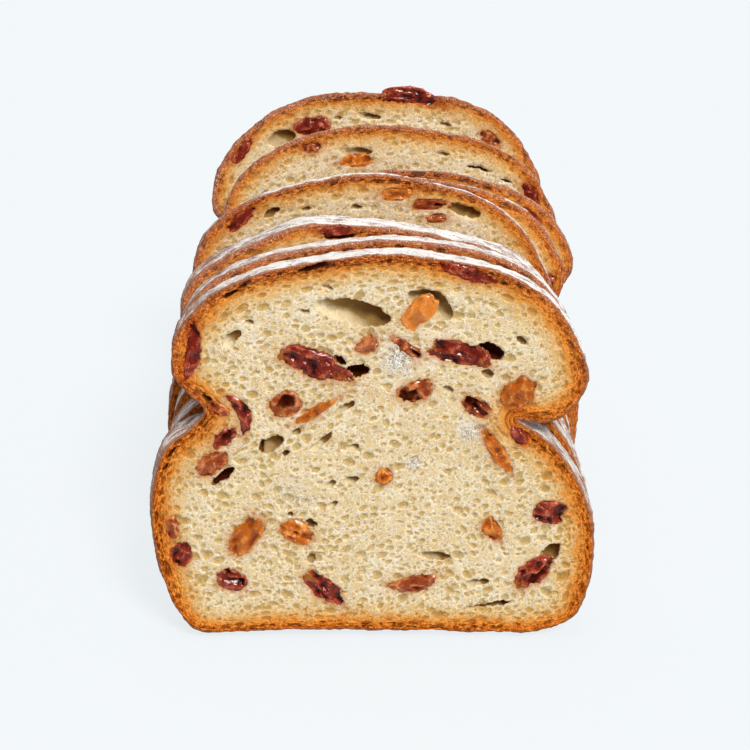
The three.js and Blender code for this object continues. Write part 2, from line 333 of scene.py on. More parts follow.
def round_curve(points, spacing):
    """A smooth closed curve through points, as evenly spaced points."""
    before, here, after, later = (np.roll(points, k, axis=0) for k in (1, 0, -1, -2))
    steps = 12
    curve = []
    for k in range(steps):
        t = k / steps
        curve.append(
            0.5
            * (
                2 * here
                + (after - before) * t
                + (2 * before - 5 * here + 4 * after - later) * t**2
                + (3 * here - before - 3 * after + later) * t**3
            )
        )
    curve = np.stack(curve, axis=1).reshape(-1, 2)
    closed = np.vstack([curve, curve[:1]])
    along = np.concatenate([[0], np.cumsum(np.hypot(*np.diff(closed, axis=0).T))])
    even = np.linspace(0, along[-1], int(along[-1] / spacing), endpoint=False)
    return np.stack([np.interp(even, along, closed[:, k]) for k in (0, 1)], axis=1)


class Outline:
    """A closed curve on a slice's drawing board, anticlockwise, with the inside on its left."""

    SPACING = 0.2

    def __init__(self, points):
        curve = round_curve(points, self.SPACING)
        foot_height = 9.0
        off_middle = np.where(curve[:, 1] > foot_height, np.inf, np.abs(curve[:, 0]))
        start = int(np.argmin(off_middle))  # under the middle of the foot
        self.points = np.roll(curve, -start, axis=0)
        self.count = len(self.points)
        ahead = np.roll(self.points, -2, axis=0) - np.roll(self.points, 2, axis=0)
        ahead /= np.hypot(*ahead.T)[:, None]
        self.ahead = ahead
        self.outward = np.stack([ahead[:, 1], -ahead[:, 0]], axis=1)
        self.tree = kdtree.KDTree(self.count)
        for i, (across, up) in enumerate(self.points):
            self.tree.insert((across, up, 0), i)
        self.tree.balance()

    def nearest(self, points):
        """For each point, its depth inside the outline and the number of the nearest outline point."""
        found = [self.tree.find((across, up, 0))[1] for across, up in points]
        index = np.array(found)
        away = points - self.points[index]
        outside = np.einsum("ij,ij->i", away, self.outward[index])
        return np.hypot(*away.T) * -np.sign(outside), index

    def at(self, place):
        """Points of the outline at places between the numbered ones."""
        low = np.floor(place).astype(int)
        part = (place - low)[:, None]
        return self.points[low % self.count] * (1 - part) + self.points[(low + 1) % self.count] * part


def cut_face(bm, side):
    """The faces of the flat cut that looks towards -Y, side -1, or +Y, side 1."""
    parallel = 0.999
    flush = 0.05 * MM
    facing = [face for face in bm.faces if face.normal.y * side > 0.5]
    largest = max(facing, key=lambda face: face.calc_area())
    normal, spot = largest.normal.copy(), largest.verts[0].co.copy()

    def is_part(face):
        level = all(abs((vert.co - spot).dot(normal)) < flush for vert in face.verts)
        return face.normal.dot(normal) > parallel and level

    return [face for face in bm.faces if is_part(face)]


def outer_loop(faces):
    """The longest loop of vertices round a flat set of faces, anticlockwise as they look at one."""
    inside = set(faces)
    following = {}
    for face in faces:
        for loop in face.loops:
            if not inside.issuperset(loop.edge.link_faces):
                following[loop.vert] = loop.link_loop_next.vert
    loops = []
    while following:
        vert = next(iter(following))
        found = []
        while vert in following:
            found.append(vert)
            vert = following.pop(vert)
        loops.append(found)
    return max(loops, key=len)


class Oval:
    """A raisin's outline on the cut face, measured from its CAD node."""

    # Outline points of a slice this near to a raisin belong to the raisin's pocket: distances from its
    # bulging outline and from the plain oval.
    POCKET, PLAIN_POCKET = 0.9, 0.6
    # How many bulges its outline has, roughly, and their size as a share of its radius.
    BULGES = ((1.3, 0.14), (2.9, 0.1), (6.3, 0.05))

    def __init__(self, node, board):
        self.node = node
        points = board.flat(np.array([node.matrix_world @ v.co for v in node.data.vertices]))
        face = points[:, :2]
        self.middle = (face.min(axis=0) + face.max(axis=0)) / 2
        _, axes = np.linalg.eigh(np.cov((face - self.middle).T))
        self.long = axes[:, 1] * (1 if axes[0, 1] >= 0 else -1)
        self.short = np.array([-self.long[1], self.long[0]])
        reach = np.abs((face - self.middle) @ np.stack([self.long, self.short], axis=1)).max(axis=0)
        self.length, self.height = reach * 2
        self.radius = min(self.length, self.height) / 2
        self.lowest, self.highest = points[:, 2].min(), points[:, 2].max()
        self.thickness = board.thickness
        self.on_back = self.highest < -board.thickness / 2
        self.bend = BENDS.get(node.name, 0.0)
        self.seed = sum(ord(letter) * k for k, letter in enumerate(node.name, 1))

    def reach_at(self, ball):
        """How much farther or nearer than the oval the raisin ends, for directions on the unit circle."""
        bulge = 0.0
        for k, (often, size) in enumerate(self.BULGES):
            bulge = bulge + size * lumps(ball * often + 20, 1.0, self.seed + k)
        return 1 + bulge

    def local(self, points):
        """Points of the board in the raisin's own unit disc."""
        away = points - self.middle
        u = away @ self.long / (self.length / 2)
        v = away @ self.short / (self.height / 2) - self.bend * (u * u - 0.5)
        return np.stack([u, v], axis=1)

    def spread(self, disc):
        """Points of the unit disc on the board, before the raisin's place is added."""
        size = np.hypot(*disc.T)
        unit = disc / np.maximum(size, 1e-6)[:, None]
        u, v = (disc * self.reach_at(unit)[:, None]).T
        v = v + self.bend * (u * u - 0.5)
        return np.outer(u * self.length / 2, self.long) + np.outer(v * self.height / 2, self.short)

    def share(self, points):
        """0 at the middle of the raisin and 1 on its outline."""
        disc = self.local(points)
        size = np.hypot(*disc.T)
        return size / self.reach_at(disc / np.maximum(size, 1e-6)[:, None])

    def distance(self, points):
        """About how far outside the raisin each point lies."""
        return (self.share(points) - 1) * self.radius

    def breaks(self, points):
        """Which points of a slice's outline belong to the raisin's pocket."""
        away = points - self.middle
        plain = np.hypot(away @ self.long / (self.length / 2), away @ self.short / (self.height / 2))
        return (self.distance(points) <= self.POCKET) | ((plain - 1) * self.radius <= self.PLAIN_POCKET)

    @property
    def deep(self):
        """How far the raisin reaches into the slice."""
        return self.highest + self.thickness if self.on_back else -self.lowest


class Board:
    """A slice's cut face as a drawing board, in millimetres: across, up and out of the face.

    The front face lies at out = 0 and its lowest point at up = 0. Across is 0 midway between its sides."""

    def __init__(self, number):
        self.number = number
        self.seed = 1000 * number
        self.node = frame["nodes"][f"slice_{number}"]
        bm = bmesh.new()
        bm.from_mesh(self.node.data)
        bmesh.ops.remove_doubles(bm, verts=bm.verts, dist=0.001 * MM)
        bm.normal_update()
        front, back = cut_face(bm, -1), cut_face(bm, 1)
        out = sum((face.normal * face.calc_area() for face in front), Vector()).normalized()
        up = (Vector((0, 0, 1)) - out * out.z).normalized()
        self.axes = np.array([up.cross(out), up, out])
        self.origin = np.zeros(3)
        front, back = (self.flat(np.array([v.co for v in outer_loop(faces)])) for faces in (front, back))
        bm.free()
        low, high = front.min(axis=0), front.max(axis=0)
        middle = np.array([(low[0] + high[0]) / 2, low[1], low[2]])
        self.origin = self.axes.T @ middle * MM
        front, back = front - middle, back - middle
        self.thickness = -back[:, 2].mean()
        self.top = front[:, 1].max()
        self.ovals = [
            Oval(node, self)
            for name, node in frame["nodes"].items()
            if name.startswith(f"raisin_{number}_") or (number == LAST and name.startswith("raisin_back"))
        ]
        self.front = Outline(self.without_notches(front[:, :2], on_back=False))
        self.back = Outline(self.without_notches(back[::-1, :2], on_back=True))

    def flat(self, points):
        """Points of the row, in metres, as across, up and out."""
        return (points - self.origin) @ self.axes.T / MM

    def placed(self, points):
        """Across, up and out as points of the row, in metres."""
        return points @ self.axes * MM + self.origin

    def without_notches(self, points, on_back):
        """An outline without the points where a raisin's pocket breaks through it."""
        keep = np.ones(len(points), dtype=bool)
        for oval in self.ovals:
            if oval.on_back == on_back:
                keep &= ~oval.breaks(points)
        return points[keep]


# ---------------------------------------------------------------- a slice's surface, seen as a drawing


class Face:
    """What the knife laid open on one side of a slice: how deep and of what colour each point is."""

    # How far the crumb lies under the edge of the crust, which gives way less under the knife.
    SUNK = 0.25
    # Distances to a border are kept only this far from it.
    NEAR = 1.2
    # Holes longer than this get a bright painted highlight at their lower left.
    LONG_HOLE = 15.0

    def __init__(self, board, outline, points, on_back, settings):
        self.board = board
        self.on_back = on_back
        self.seed = board.seed + 500 * on_back
        self.points = points
        self.inside, self.index = outline.nearest(points)
        self.depth = np.zeros(len(points))
        self.pore = np.full(len(points), -self.NEAR)
        self.hole = np.full(len(points), -self.NEAR)
        self.shade = np.zeros(len(points))
        self.stain = np.zeros(len(points))
        self.web = np.zeros(len(points))
        self.dig_pores(settings)
        self.dig_holes()
        self.sink_raisins()

    def dig_pores(self, settings):
        """Round pores in the middle, and long flat ones that follow the crust."""
        spacing = settings.pore_reach / MM
        depth = settings.pore_depth / MM
        seed = self.seed
        wobble = np.stack([rough(self.points, 1.3, seed + k, 2) for k in (1, 2)], axis=1)
        bent = self.points + 0.2 * wobble
        crown = step(self.points[:, 1] / self.board.top, 0.6, 0.75)
        swirl = 0.5 * lumps(self.points, 16.0, seed + 5)
        swirl += 0.9 * (1 - crown) * lumps(self.points, 5.0, seed + 8)
        free = self.inside + 2.5 * lumps(self.points, 7.0, seed + 6) - 4.0 * crown
        middle = step(free, 4.0, 8.0)
        follow = np.stack([self.index * Outline.SPACING / 2.2, self.inside], axis=1)
        growth = 1 + 0.3 * lumps(self.points, 11.0, seed + 7)
        # Two drawings of pores: one lies free, and the other's pores lie along the crust and are flatter.
        drawings = [
            (bent, swirl, 1.6, middle, spacing / 2.2),
            (follow + 0.1 * wobble, 0.0, 1.0, 1 - middle, spacing / 2.9),
        ]
        layers = [
            # spacing, radii, wall between, depth, share kept
            (4.2, (0.6, 1.35), 0.5, 1.2, 0.4),
            (2.0, (0.3, 0.95), 0.4, 1.0, 0.62),
            (1.2, (0.2, 0.5), 0.25, 0.4, 0.7),
        ]
        for drawing, (places, turn, stretch, weight, size) in enumerate(drawings):
            for number, (apart, radii, wall, deep, keep) in enumerate(layers):
                tall = np.array(radii)
                where = places / size + 31 * number
                dice = seed + 110 * drawing + 11 * number
                rim = bubbles(where, apart, tall, dice, wall, turn, stretch, keep, growth)
                rim = rim * size - 1.6 * np.clip(0.5 - weight, 0, 1)
                rim = np.minimum(rim, -self.pore - 0.2)
                share = np.clip(rim / (0.8 * tall.mean()), 0, 1)
                pit = depth * deep * np.sqrt(1 - (1 - share) ** 2.6)
                self.depth = np.maximum(self.depth, pit)
                self.pore = np.maximum(self.pore, rim)
        self.pore = np.where(self.inside > 0.45, self.pore, -self.NEAR)
        self.depth += 0.06 * rough(self.points, 0.9, seed + 3, 2) - 0.06

    def dig_holes(self):
        """The large holes, with painted shade and light in them, and the patches of grey web."""
        holes = BACK_HOLES if self.on_back else HOLES.get(self.board.number, [])
        torn = np.stack([rough(self.points, 1.3, self.seed + k, 3) for k in (21, 22)], axis=1)
        broad = np.stack([lumps(self.points, 3.4, self.seed + k) for k in (25, 26)], axis=1)
        for across, up, long, high, turn, depth, dark in holes:
            angle = math.radians(turn)
            away = self.points + 0.3 * torn + 0.1 * high * broad - (across, up)
            x = away @ (math.cos(angle), math.sin(angle)) / (long / 2)
            y = away @ (-math.sin(angle), math.cos(angle)) / (high / 2)
            share = np.hypot(x, y)
            bowl = depth * np.clip(1 - share**2.4, 0, 1) ** 0.5
            wall = (1 - share) * min(long, high) / 2
            inside = wall > 0
            self.depth = np.where(inside, np.maximum(bowl, 0.35 * self.depth), self.depth)
            self.pore = np.where(inside, np.minimum(self.pore, -0.5), self.pore)
            nearer = wall > self.hole
            # Painted shade: light comes from the upper right, so that side of a hole is painted darker, as
            # if in its own shadow, and its lower left lighter.
            lightest = -0.9 if long > self.LONG_HOLE else -0.3
            painted_shadow = np.clip(away @ (0.45, 0.75) / (high / 2), lightest, 1.0)
            self.hole = np.where(nearer, wall, self.hole)
            self.shade = np.where(nearer, np.clip(dark + 0.5 * (1 - dark) * painted_shadow, 0, 1), self.shade)
        if self.board.number == FIRST and not self.on_back:
            for across, up, reach, strength in WEBS:
                away = np.hypot(*(self.points - (across, up)).T) / reach
                patchy = 0.5 + 0.5 * lumps(self.points, 2.4, self.seed + 31)
                self.web = np.maximum(self.web, strength * step(away + 0.5 * patchy, 1.25, 0.35))

    def sink_raisins(self):
        """Pockets for the raisins, with a ragged edge, and a brown stain round them."""
        ragged = 0.3 * rough(self.points, 0.9, self.seed + 41, 2)
        for oval in self.board.ovals:
            if oval.on_back != self.on_back:
                continue
            away = oval.distance(self.points)
            share = oval.share(self.points) + (ragged + 0.05) / oval.radius
            pocket = (oval.deep + 0.3) * np.sqrt(np.clip(1 - share**2, 0, 1)) + 0.1
            self.depth = np.where(share < 1, pocket, self.depth * step(away, -0.1, 0.5))
            self.pore = np.where(away < 0.35, -self.NEAR, self.pore)
            self.hole = np.where(away < 0.2, -self.NEAR, self.hole)
            drift = 0.5 + 0.5 * lumps(self.points, 5.0, oval.seed)
            fade = np.clip(away + 1.2 * ragged, 0, None) / (0.3 + 0.7 * drift)
            halo = np.exp(-fade) * (0.4 + 0.6 * drift)
            self.stain = np.maximum(self.stain, np.clip(halo, 0, 1))

    def out(self):
        """How far each point stands out of the face."""
        return -self.SUNK * step(self.inside, 0.8, 4.0) - self.depth


# The crusts from this slice on are a little paler.
PALER_FROM = 7


def baking(board, points, index, outline):
    """How dark the crust is baked: most on top of the crown, least in the folds between crown and body."""
    top = step(points[:, 1] / board.top, 0.82, 1.0)
    along = np.stack([index * Outline.SPACING, np.zeros(len(points))], axis=1)
    patches = 0.22 * rough(along, 22.0, board.seed + 51, 3)
    turned = np.roll(outline.ahead, -12, axis=0) - np.roll(outline.ahead, 12, axis=0)
    bend = np.einsum("ij,ij->i", turned, outline.outward)
    spread = 60  # points of the outline over which a fold's shelter reaches
    three_rounds = np.tile(np.clip(-bend, 0, 1), 3)
    fold = np.convolve(three_rounds, np.ones(spread) / spread, "same")[outline.count : 2 * outline.count]
    paler = 0.12 if board.number >= PALER_FROM else 0.0
    return np.clip(0.35 + 0.6 * top + patches - 1.6 * fold[index] - paler, 0, 1)


def browning_depth(board, points, inside):
    """How deep each point lies for the browning, which ends sooner on top and at the foot.

    In the slices behind the first it ends sooner still, and a warm tone goes on far under it."""
    if board.number != FIRST:
        return np.where(inside < 3.0, 1.5 * inside, 4.5 + 1.3 * (inside - 3.0))
    up = points[:, 1] / board.top
    return inside * (1 + 0.25 * step(up, 0.8, 0.95) + 0.3 * step(up, 0.12, 0.05))


# ---------------------------------------------------------------- a slice's mesh


def net_over(bm, outline, spacing, out):
    """A flat net of squares over the inside of an outline: its verts, and those of its edge in order."""
    low, high = outline.points.min(axis=0), outline.points.max(axis=0)
    columns, rows = (int(n) + 2 for n in (high - low) / spacing)
    middle = (low + high) / 2
    place = Matrix.Translation((*middle, out)) @ Matrix.Diagonal((columns * spacing, rows * spacing, 1, 1))
    made = bmesh.ops.create_grid(bm, x_segments=columns, y_segments=rows, size=0.5, matrix=place)
    verts = made["verts"]
    inside, _ = outline.nearest(np.array([v.co[:2] for v in verts]))
    margin = 0.4 * spacing
    outer = [v for v, depth in zip(verts, inside) if depth < margin]
    net = [v for v, depth in zip(verts, inside) if depth >= margin]
    bmesh.ops.delete(bm, geom=outer, context="VERTS")
    loose = [v for v in net if is_loose(v)]
    while loose:
        gone = set(loose)
        bmesh.ops.delete(bm, geom=loose, context="VERTS")
        net = [v for v in net if v not in gone]
        loose = [v for v in net if is_loose(v)]
    return net, ring_round(net)


def is_loose(vert):
    """Whether a net's vert has no face, or hangs where the net's edge isn't a simple line."""
    open_edges = sum(edge.is_boundary for edge in vert.link_edges)
    return open_edges != 2 and vert.is_boundary or not vert.link_faces


def ring_round(net):
    """The verts along the open edge of a net, anticlockwise."""
    following = {}
    for vert in net:
        if vert.is_boundary:
            for loop in vert.link_loops:
                if loop.edge.is_boundary:
                    following[vert] = loop.link_loop_next.vert
    start = next(iter(following))
    ring = [start]
    while following[ring[-1]] is not start:
        ring.append(following[ring[-1]])
    return ring


def ring_edges(bm, ring):
    """The edges between the verts of a ring."""
    return [bm.edges.get((a, b)) for a, b in zip(ring, ring[1:] + ring[:1])]


def next_ring(bm, ring):
    """Extrudes a ring and gives back the new one in the same order."""
    made = bmesh.ops.extrude_edge_only(bm, edges=ring_edges(bm, ring))
    fresh = {item for item in made["geom"] if isinstance(item, bmesh.types.BMVert)}
    return [next(e.other_vert(v) for e in v.link_edges if e.other_vert(v) in fresh) for v in ring]


def places_along(outline, ring):
    """Where each vert of a ring lies along the outline: in order, and without bunching."""
    _, index = outline.nearest(np.array([v.co[:2] for v in ring]))
    count = outline.count
    jumps = np.diff(index, prepend=index[:1])
    jumps = (jumps + count // 2) % count - count // 2
    place = index[0] + np.cumsum(jumps).astype(float)
    travel = round((place[-1] - place[0]) / count) * count
    slope = np.arange(len(ring)) * travel / len(ring)
    offset = place - slope
    width = 9
    kernel = np.hanning(width + 2)[1:-1]
    padded = np.concatenate([offset[-(width // 2) :], offset, offset[: width // 2]])
    return np.convolve(padded, kernel / kernel.sum(), "valid") + slope


def slice_mesh(board, spacing, back_spacing, rows):
    """A closed mesh of one slice: two nets and the crust between them.

    Each vert stores which `part` it belongs to, 0 on the front net, 1 on the back net and between them on
    the crust, and its `place` along the outline if it is on the crust."""
    bm = bmesh.new()
    part = bm.verts.layers.float.new("part")
    place = bm.verts.layers.float.new("place")
    _, ring = net_over(bm, board.front, spacing, 0.0)
    back_net, back_ring = net_over(bm, board.back, back_spacing, -board.thickness)
    for vert in back_net:
        vert[part] = 1.0
    along = places_along(board.front, ring)
    front = board.front.at(along)
    shares = along / board.front.count
    # Both outlines start under the middle of the foot, so an equal share of each lies opposite.
    back = board.back.at(shares * board.back.count)
    edge = 0.012  # the first and last rings' distance from the cut faces, as a share of the thickness
    for share in np.linspace(edge, 1 - edge, rows):
        ring = next_ring(bm, ring)
        spots = front * (1 - share) + back * share
        for vert, (across, up), where in zip(ring, spots, along):
            vert.co = (across, up, -board.thickness * share)
            vert[part] = share
            vert[place] = where
    bmesh.ops.bridge_loops(bm, edges=ring_edges(bm, ring) + ring_edges(bm, back_ring))
    bmesh.ops.recalc_face_normals(bm, faces=bm.faces)
    return bm


def as_object(bm, name, material, node_names):
    """A mesh in the scene that stands in for these CAD nodes."""
    mesh = bpy.data.meshes.new(name)
    bm.to_mesh(mesh)
    bm.free()
    mesh.shade_smooth()
    mesh.materials.append(material)
    obj = bpy.data.objects.new(name, mesh)
    bpy.context.scene.collection.objects.link(obj)
    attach(obj, "root")
    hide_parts(*node_names)
    return obj


def read_points(mesh):
    """Where the verts are, one to a row."""
    points = np.zeros(len(mesh.vertices) * 3)
    mesh.vertices.foreach_get("co", points)
    return points.reshape(-1, 3)


def take_layer(mesh, name):
    """Reads a value for each vert and takes it off the mesh."""
    layer = mesh.attributes[name]
    values = np.zeros(len(mesh.vertices), dtype=np.float32)
    layer.data.foreach_get("value", values)
    mesh.attributes.remove(layer)
    return values.astype(float)


def store(mesh, marks):
    """Values for each vert, by their names, which the material reads."""
    for name, values in marks.items():
        layer = mesh.attributes.new(name, "FLOAT", "POINT")
        layer.data.foreach_set("value", np.asarray(values, dtype=np.float32))


def move_verts(mesh, points):
    """Puts each vert at its point, in metres."""
    mesh.vertices.foreach_set("co", points.ravel())
    mesh.update()


FACE_MARKS = ("pore", "hole", "shade", "stain", "web")
MARKS = (*FACE_MARKS, "inside", "along", "deep", "bake", "skin", "flour")
# How much flour each crown holds, from the first slice to the last.
FLOUR = (1.25, 1.1, 1.05, 1.1, 0.9, 0.9, 0.95, 0.35)
# How much of it fell on the crown's edge in each cut face.
DUST = (0.15, 0.8, 0.75, 0.45, 0.5, 0.7, 0.6, 1.0)
# Rings of verts on the crust. The first slice has a finer net, so it has fewer of them.
FIRST_ROWS, ROWS = 14, 15


def cut_net(board, on_back, points, net, marks, settings):
    """Carves the cut face into one net of a slice and marks its verts."""
    outline = board.back if on_back else board.front
    face = Face(board, outline, points[net, :2], on_back, settings)
    points[net, 2] += face.out() * (-1 if on_back else 1)
    marks["inside"][net] = browning_depth(board, points[net, :2], face.inside)
    marks["along"][net] = face.index * Outline.SPACING
    marks["bake"][net] = baking(board, points[net, :2], face.index, outline)
    leftward = step(outline.outward[face.index, 0], 0.1, -0.5)
    dusty = step(points[net, 1] / board.top, 0.55, 0.7) * (0.55 + 0.45 * leftward)
    marks["flour"][net] = DUST[board.number - 1] * dusty
    for name in FACE_MARKS:
        marks[name][net] = getattr(face, name)


def bake_crust(board, points, crust, shares, index, marks):
    """Gives the crust its relief and marks its verts. `shares` runs from 0 at the front face to 1."""
    outward = board.front.outward[index]
    flat = points[crust]
    relief = 0.3 * rough(flat, 7.0, board.seed + 61, 3) + 0.2 * rough(flat, 1.5, board.seed + 65, 2)
    points[crust, :2] += outward * (relief + 0.2)[:, None]
    marks["skin"][crust] = step(shares, 0.013, 0.045)
    marks["bake"][crust] = baking(board, flat[:, :2], index, board.front)
    marks["along"][crust] = index * Outline.SPACING
    marks["deep"][crust] = shares * board.thickness
    marks["pore"][crust] = marks["hole"][crust] = -Face.NEAR
    crown = step(flat[:, 1] / board.top, 0.52, 0.6)
    # The crown's left shoulders get less flour than the right ones, so they come out darker.
    upward = step(outward[:, 1] + 0.2 * outward[:, 0], -0.1, 0.95)
    left = 0.55 * crown * step(outward[:, 0], -0.1, -0.6)
    on_crown = FLOUR[board.number - 1] * crown * (0.25 + 0.75 * upward)
    held = on_crown + (1 - crown) * (0.15 + 0.7 * upward)
    marks["flour"][crust] = held * (1 - left)


def make_slice(board, settings, material):
    """One slice: its cut faces, its crust and all that its material has to know of each vert."""
    is_first, is_last = board.number == FIRST, board.number == LAST
    spacing = (settings.fine_net if is_first else settings.near_net) / MM
    back_spacing = spacing if is_last else settings.coarse_net / MM
    bm = slice_mesh(board, spacing, back_spacing, FIRST_ROWS if is_first else ROWS)
    obj = as_object(bm, f"bread_slice_{board.number}", material, [board.node.name])
    mesh = obj.data
    part, place = (take_layer(mesh, name) for name in ("part", "place"))
    points = read_points(mesh)
    marks = {name: np.zeros(len(points)) for name in MARKS}
    for on_back in (False, True):
        net = (part == float(on_back)).nonzero()[0]
        cut_net(board, on_back, points, net, marks, settings)
    crust = ((part > 0) & (part < 1)).nonzero()[0]
    index = np.round(place[crust]).astype(int) % board.front.count
    bake_crust(board, points, crust, part[crust], index, marks)
    store(mesh, marks)
    placed = board.placed(points)
    placed[:, 2] = np.maximum(placed[:, 2], 0.0)
    move_verts(mesh, placed)
    return obj


# ---------------------------------------------------------------- raisins


RAISIN_MARKS = ("fold", "rim", "hollow", "clear", "tone")


def round_patches(places, disc, ragged, inner):
    """1 in round patches of the unit disc and 0 outside them. They fade from `inner` of their reach on."""
    found = np.zeros(len(disc))
    for across, up, reach in places:
        away = np.hypot(*(disc - (across, up)).T) + ragged
        found = np.maximum(found, step(away, reach, inner * reach))
    return found


def make_raisin(board, before, oval, settings, material):
    """One wrinkled raisin, as long, high and deep as its CAD node and turned as it is.

    `before` is the board of the slice in front, or None."""
    name = oval.node.name
    bm = bmesh.new()
    bmesh.ops.create_icosphere(bm, subdivisions=settings.roundness, radius=1.0)
    obj = as_object(bm, f"{name}_skin", material, [name])
    mesh = obj.data
    ball = read_points(mesh)
    seed = oval.seed
    open_face = board.number == FIRST or oval.on_back
    above = ball[:, 2] > 0
    disc = ball[:, :2]
    rho = np.clip(np.hypot(*disc.T), 0, 1)

    overlap = 0.3 / oval.radius
    spot = oval.spread(disc * (1 + overlap))
    # A low dome over an equator that lies under the crumb's edge.
    equator, rise = -0.9, (1.05 if open_face else 0.85)
    dome = equator + rise * np.sqrt(1 - rho**3.4)
    bowl = equator - (oval.deep + equator) * np.sqrt(1 - rho**2)
    height = np.where(above, dome, bowl)
    where = np.column_stack([spot @ oval.long * 0.75, spot @ oval.short, height])
    bent = where + 0.5 * np.stack([lumps(where, 2.4, seed + k) for k in (3, 4, 5)], axis=1)
    folds = 1 - np.abs(lumps(bent, 1.9, seed + 6)) * 2.8
    fine = 1 - np.abs(lumps(bent, 0.7, seed + 7)) * 2.6
    swell = np.clip(0.75 * folds + 0.25 * fine, -1, 1)
    wrinkle = settings.wrinkle / MM * min(1.0, oval.height / 5.0)
    height += np.where(above, wrinkle * (swell - 0.45) * (1 - rho**8), 0)

    hollow = round_patches(TORN.get(name, ()), disc, 0.16 * lumps(spot, 1.0, seed + 8), 0.7)
    height -= np.where(above, 1.1 * hollow, 0)
    clear = round_patches(CLEAR.get(name, ()), disc, 0.2 * lumps(spot, 1.2, seed + 9), 0.6)
    facing, face_at = (-1, -board.thickness) if oval.on_back else (1, 0.0)
    if not open_face:
        # It mustn't touch the slice in front, so it stays low where that one covers it.
        on_face = board.placed(np.column_stack([spot + oval.middle, np.zeros(len(spot))]))
        covered, _ = before.back.nearest(before.flat(on_face)[:, :2])
        height = np.minimum(height, 0.04 + 0.6 * step(covered, -0.6, -2.2))
    flat = np.column_stack([spot + oval.middle, face_at + facing * height])
    if facing < 0:
        mesh.flip_normals()
    tone = np.full(len(ball), TONES.get(name, 0.0))
    store(mesh, dict(zip(RAISIN_MARKS, (swell, rho, hollow, clear, tone))))
    move_verts(mesh, board.placed(flat))
    return obj


# ---------------------------------------------------------------- materials


class Wire:
    """A socket in a material. Sums and products of wires add the nodes that work them out."""

    def __init__(self, finish, socket):
        self.finish = finish
        self.socket = socket

    def math(self, operation, *values):
        return self.finish.node("ShaderNodeMath", {"operation": operation}, dict(enumerate(values)))

    def __add__(self, other):
        return self.math("ADD", self, other)

    def __sub__(self, other):
        return self.math("SUBTRACT", self, other)

    def __rsub__(self, other):
        return self.math("SUBTRACT", other, self)

    def __mul__(self, other):
        return self.math("MULTIPLY", self, other)

    __radd__ = __add__
    __rmul__ = __mul__

    def over(self, other):
        """The larger of two values."""
        return self.math("MAXIMUM", self, other)

    def size(self):
        """The value without its sign."""
        return self.math("ABSOLUTE", self)

    def step(self, low, high):
        """0 under low, 1 over high, smooth between them; low may be the larger one."""
        ends = (low, high, 0.0, 1.0) if low < high else (high, low, 1.0, 0.0)
        settings = {"interpolation_type": "SMOOTHSTEP"}
        return self.finish.node("ShaderNodeMapRange", settings, dict(enumerate((self, *ends))))


